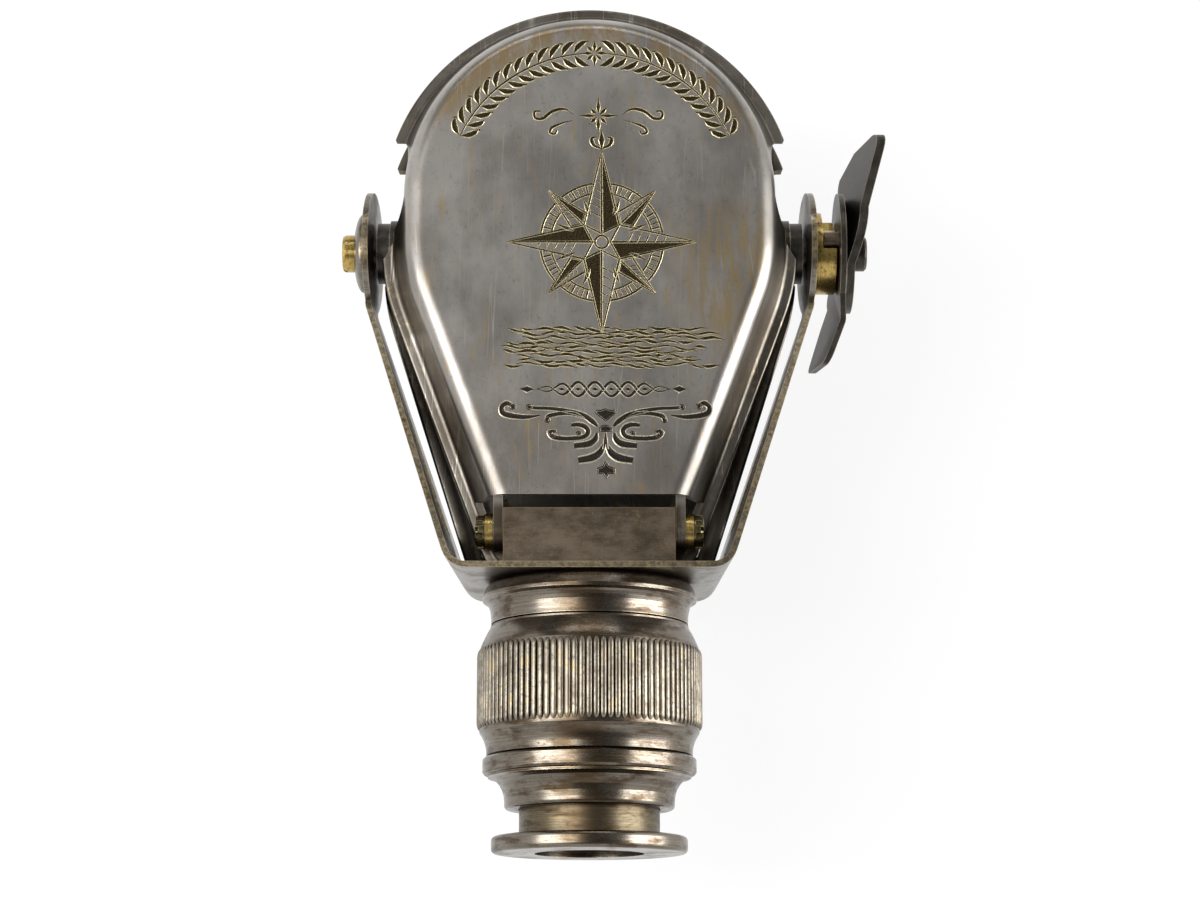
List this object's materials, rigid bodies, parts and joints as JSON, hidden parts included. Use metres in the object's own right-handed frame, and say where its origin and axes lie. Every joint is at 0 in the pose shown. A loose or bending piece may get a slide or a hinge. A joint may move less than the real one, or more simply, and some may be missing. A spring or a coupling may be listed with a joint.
{
  "type": "folding spyglass",
  "caption": "Pocket spyglass with hinged pan-shaped covers, a lens ring that swings up in a forked yoke, and a knurled focus ring.",
  "frame": {"origin": "centre of the eyecup's end face, on the optical axis", "axes": "+Y along the optical axis towards the covers, +Z out of the engraved front cover, +X along the pivot towards the thumb lever"},
  "size_m": [0.1018, 0.1586, 0.041],
  "materials": {
    "aged_nickel": "nickel-plated brass, aged to a warm grey-brown",
    "cover_nickel": "nickel-plated brass, brushed along its length and engraved",
    "patinated_brass": "brown patina",
    "polished_brass": "worn bright",
    "dark_steel": "darkened, worn at the edges",
    "optical_glass": "clear polished glass"
  },
  "bodies": {
    "yoke_body": {"yoke": "aged_nickel", "front_hinge_block": "patinated_brass", "rear_hinge_block": "patinated_brass", "front_hinge_screws": "polished_brass", "rear_hinge_screws": "polished_brass", "front_hinge_washers": "polished_brass", "rear_hinge_washers": "polished_brass", "eyepiece_flange": "aged_nickel", "flange_screws": "dark_steel", "inner_barrel": "aged_nickel", "end_collar": "aged_nickel", "detent_collar": "polished_brass"},
    "front_cover_body": {"front_cover": "cover_nickel"},
    "rear_cover_body": {"rear_cover": "cover_nickel"},
    "lens_ring_body": {"objective_ring": "aged_nickel", "objective_lens": "optical_glass", "lens_retaining_ring": "dark_steel", "left_trunnion": "dark_steel", "left_dome_washer": "aged_nickel", "left_trunnion_screw": "polished_brass", "right_trunnion_shaft": "dark_steel", "stop_pin": "patinated_brass", "lower_lever": "dark_steel", "thumb_lever": "dark_steel"},
    "focus_ring_body": {"focus_ring": "aged_nickel", "focus_sleeve": "patinated_brass"},
    "eyepiece_body": {"eyepiece_tube": "aged_nickel", "eyecup": "aged_nickel", "eye_lens": "optical_glass", "eye_lens_retainer": "dark_steel", "guide_pin": "polished_brass"}
  },
  "joints": [
    {"name": "lens_ring_tilt", "type": "hinge", "parent": "yoke_body", "child": "lens_ring_body", "pos_m": [0, 0.1122, 0], "axis": [-1, 0, 0], "range_deg": [0, 90]},
    {"name": "front_cover_hinge", "type": "hinge", "parent": "yoke_body", "child": "front_cover_body", "pos_m": [0, 0.0563, 0.013], "axis": [1, 0, 0], "range_deg": [0, 25.3]},
    {"name": "rear_cover_hinge", "type": "hinge", "parent": "yoke_body", "child": "rear_cover_body", "pos_m": [0, 0.0563, -0.013], "axis": [-1, 0, 0], "range_deg": [0, 25.3]},
    {"name": "focus_ring_turn", "type": "hinge", "parent": "yoke_body", "child": "focus_ring_body", "pos_m": [0, 0.0278, 0], "axis": [0, 1, 0], "range_deg": [-99, 63]},
    {"name": "eyepiece_slide", "type": "slide", "parent": "yoke_body", "child": "eyepiece_body", "axis": [0, 1, 0], "range_m": [-0.00551, 0.00351]}
  ],
  "couplings": [
    {"joint": "front_cover_hinge", "follows": "lens_ring_tilt", "ratio": 0.28},
    {"joint": "rear_cover_hinge", "follows": "lens_ring_tilt", "ratio": 0.28},
    {"joint": "eyepiece_slide", "follows": "focus_ring_turn", "m_per_rad": 0.0031831}
  ]
}
